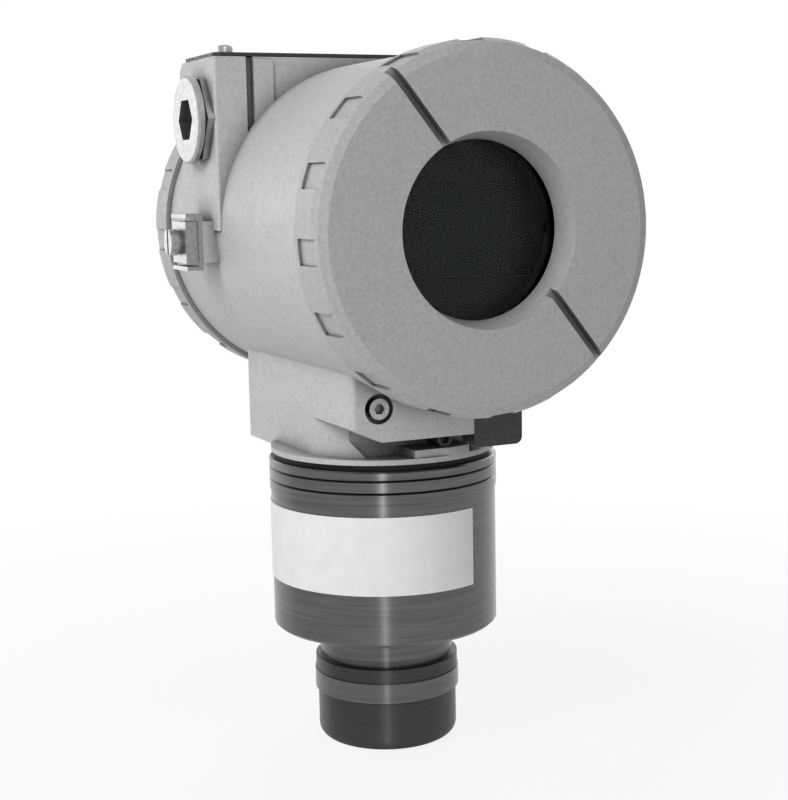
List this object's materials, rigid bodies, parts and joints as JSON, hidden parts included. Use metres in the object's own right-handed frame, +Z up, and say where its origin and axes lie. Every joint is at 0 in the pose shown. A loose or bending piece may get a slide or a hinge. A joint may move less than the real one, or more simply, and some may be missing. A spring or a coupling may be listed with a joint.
{
  "type": "pressure transmitter",
  "caption": "Field pressure transmitter: round two-compartment housing with a display window, turned on a cylindrical sensor module with a threaded process connection below.",
  "frame": {"origin": "centre of the process connection's mouth, at its lower face", "axes": "+Z up the sensor module's axis; the display cover faces -Y; the plugged conduit entry and ground lug are on -X, the open conduit entry on +X"},
  "size_m": [0.1002, 0.1276, 0.1925],
  "materials": {
    "steel": "turned stainless steel",
    "label": "blank white label",
    "rubber": "black seal rubber",
    "painted_body": "satin grey paint on an aluminium casting",
    "painted_cover": "satin grey paint on an aluminium casting",
    "glass": "clear",
    "insulator": "sealing glass",
    "board": "coated circuit board",
    "black_plastic": "black moulding",
    "lcd": "unlit display",
    "dark_steel": "blackened steel",
    "bright_steel": "bright stainless steel"
  },
  "bodies": {
    "sensor_module": {"process_connection": "steel", "isolating_diaphragm": "steel", "sensor_capsule": "steel", "module_shell": "steel", "module_label": "label", "module_cap": "steel", "module_header": "insulator", "header_pins": "steel", "sensor_board": "board", "board_standoffs": "steel", "sensor_leads": "steel", "module_ribbon": "black_plastic", "neck_seal": "rubber"},
    "housing": {"board_components": "black_plastic", "cable_plug": "black_plastic", "compartment_ground_screw": "bright_steel", "conduit_plug": "bright_steel", "display_bezel": "black_plastic", "display_module": "black_plastic", "display_panel": "lcd", "display_screws": "bright_steel", "electronics_board": "board", "electronics_posts": "bright_steel", "electronics_shell": "black_plastic", "feedthroughs": "insulator", "front_lock_screw": "bright_steel", "ground_clamp": "bright_steel", "ground_lock_washer": "bright_steel", "ground_screw": "bright_steel", "housing_casting": "painted_body", "nameplate_screws": "bright_steel", "rear_lock_screw": "bright_steel", "rotation_set_screw": "dark_steel", "rotation_stop_block": "dark_steel", "signal_cable": "black_plastic", "span_spring": "bright_steel", "terminal_block": "black_plastic", "terminal_block_screws": "bright_steel", "terminal_plates": "bright_steel", "terminal_screws": "bright_steel", "zero_spring": "bright_steel"},
    "front_cover_travel": {"front_cover_seal": "rubber", "window_gasket": "rubber", "window_glass": "glass", "glass_retainer": "bright_steel"},
    "front_cover": {"front_cover": "painted_cover"},
    "rear_cover_travel": {"rear_cover_seal": "rubber"},
    "rear_cover": {"rear_cover": "painted_cover"},
    "nameplate": {"nameplate": "dark_steel"},
    "zero_button": {"zero_button": "dark_steel"},
    "span_button": {"span_button": "dark_steel"}
  },
  "joints": [
    {"name": "housing_rotation", "type": "hinge", "parent": "sensor_module", "child": "housing", "pos_m": [0, 0, 0.09], "axis": [0, 0, 1], "range_deg": [-180, 180]},
    {"name": "front_cover_advance", "type": "slide", "parent": "housing", "child": "front_cover_travel", "axis": [0, -1, 0], "range_m": [0, 0.0079]},
    {"name": "front_cover_turn", "type": "hinge", "parent": "front_cover_travel", "child": "front_cover", "pos_m": [0, -0.06, 0.1432], "axis": [0, -1, 0], "range_deg": [0, 1890]},
    {"name": "rear_cover_advance", "type": "slide", "parent": "housing", "child": "rear_cover_travel", "axis": [0, 1, 0], "range_m": [0, 0.0079]},
    {"name": "rear_cover_turn", "type": "hinge", "parent": "rear_cover_travel", "child": "rear_cover", "pos_m": [0, 0.057, 0.1432], "axis": [0, 1, 0], "range_deg": [0, 1890]},
    {"name": "nameplate_swing", "type": "hinge", "parent": "housing", "child": "nameplate", "pos_m": [-0.036, 0.018, 0.1889], "axis": [0, 0, 1], "range_deg": [0, 110]},
    {"name": "zero_button_press", "type": "slide", "parent": "housing", "child": "zero_button", "axis": [0, 0, -1], "range_m": [0, 0.002], "stiffness_N_per_m": 300, "springref_m": -0.001, "deforming": ["zero_spring"]},
    {"name": "span_button_press", "type": "slide", "parent": "housing", "child": "span_button", "axis": [0, 0, -1], "range_m": [0, 0.002], "stiffness_N_per_m": 300, "springref_m": -0.001, "deforming": ["span_spring"]}
  ],
  "couplings": [
    {"joint": "front_cover_advance", "follows": "front_cover_turn", "m_per_rad": 0.00023873},
    {"joint": "rear_cover_advance", "follows": "rear_cover_turn", "m_per_rad": 0.00023873}
  ]
}
